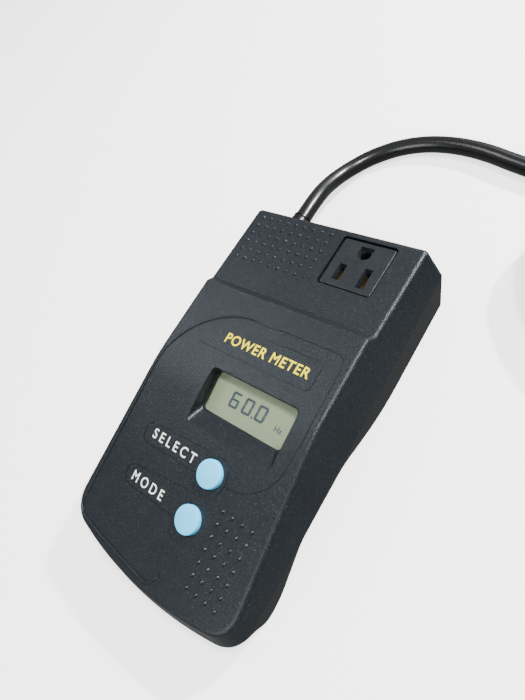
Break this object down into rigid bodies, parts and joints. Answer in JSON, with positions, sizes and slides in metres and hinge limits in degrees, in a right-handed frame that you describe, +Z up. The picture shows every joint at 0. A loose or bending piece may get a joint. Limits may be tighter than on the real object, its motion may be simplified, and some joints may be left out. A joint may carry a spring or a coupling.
{
  "type": "plug in power meter",
  "caption": "Plug-in mains power meter: a black case with a display, push buttons and a grounded outlet, on a short mains lead that is coiled up with its plug.",
  "frame": {"origin": "centre of the case's underside, on the surface it lies on", "axes": "+Y along the case towards the lead, +Z up out of the front, +X across it"},
  "size_m": [0.2393, 0.2782, 0.0439],
  "materials": {
    "case_abs": "moulded black ABS, fine grain",
    "back_abs": "moulded black ABS, satin",
    "outlet_nylon": "moulded nylon, satin",
    "button_silicone": "satin",
    "plunger_acetal": "moulded acetal",
    "clear_lens": "polished acrylic",
    "lcd_glass": "polarised glass",
    "reflector_film": "transflective film",
    "holder_abs": "moulded",
    "zebra_silicone": "layered silicone",
    "circuit_board": "solder mask",
    "chip_epoxy": "moulded epoxy",
    "connector_nylon": "moulded nylon",
    "ribbon_pvc": "extruded PVC",
    "zinc_screw": "zinc plated",
    "tinned_can": "drawn and plated",
    "core_steel": "varnished laminations",
    "bobbin_nylon": "moulded nylon",
    "winding_tape": "polyester tape",
    "fuse_glass": "glass tube, nickel caps",
    "clip_bronze": "nickel on bronze",
    "shunt_strip": "manganin strip",
    "capacitor_film": "epoxy box",
    "capacitor_can": "sleeved can",
    "varistor_epoxy": "dipped epoxy",
    "terminal_nylon": "moulded nylon",
    "contact_brass": "stamped brass",
    "cord_pvc": "glossy black PVC",
    "wire_black": "PVC",
    "wire_white": "PVC",
    "wire_green": "PVC",
    "tie_velcro": "woven hook tape",
    "nickel_brass": "nickel-plated brass"
  },
  "bodies": {
    "case": {"front_shell": "case_abs", "back_shell": "back_abs", "case_screws": "zinc_screw", "outlet_body": "outlet_nylon", "outlet_back": "outlet_nylon", "outlet_screws": "zinc_screw", "hot_contact": "contact_brass", "neutral_contact": "contact_brass", "ground_contact": "contact_brass", "display_lens": "clear_lens", "display_glass": "lcd_glass", "display_reflector": "reflector_film", "display_holder": "holder_abs", "zebra_strips": "zebra_silicone", "display_board": "circuit_board", "display_screws": "zinc_screw", "microcontroller": "chip_epoxy", "crystal": "tinned_can", "upper_header": "connector_nylon", "lower_header": "connector_nylon", "ribbon_cable": "ribbon_pvc", "select_switch": "chip_epoxy", "mode_switch": "chip_epoxy", "main_board": "circuit_board", "main_screws": "zinc_screw", "transformer_core": "core_steel", "transformer_bobbin": "bobbin_nylon", "transformer_winding": "winding_tape", "fuse": "fuse_glass", "fuse_clips": "clip_bronze", "current_shunt": "shunt_strip", "filter_capacitor": "capacitor_film", "reservoir_capacitors": "capacitor_can", "surge_varistor": "varistor_epoxy", "voltage_regulator": "chip_epoxy", "metering_chip": "chip_epoxy", "terminal_block": "terminal_nylon", "terminal_screws": "zinc_screw", "jacket_end": "cord_pvc", "cord_clamp": "bobbin_nylon", "clamp_fixings": "zinc_screw", "line_wire": "wire_black", "neutral_wire": "wire_white", "ground_wire": "wire_green", "outlet_line_wire": "wire_black", "outlet_neutral_wire": "wire_white", "strain_relief": "cord_pvc", "power_cord": "cord_pvc", "cord_coil": "cord_pvc", "cord_tail": "cord_pvc", "coil_tie": "tie_velcro", "plug_body": "cord_pvc", "plug_blades": "nickel_brass", "plug_ground_pin": "nickel_brass"},
    "select_key": {"select_button": "button_silicone", "select_plunger": "plunger_acetal"},
    "mode_key": {"mode_button": "button_silicone", "mode_plunger": "plunger_acetal"}
  },
  "joints": [
    {"name": "select_press", "type": "slide", "parent": "case", "child": "select_key", "axis": [0, 0.2164, -0.9763], "range_m": [0, 0.001], "stiffness_N_per_m": 600},
    {"name": "mode_press", "type": "slide", "parent": "case", "child": "mode_key", "axis": [0, 0.2164, -0.9763], "range_m": [0, 0.001], "stiffness_N_per_m": 600}
  ]
}
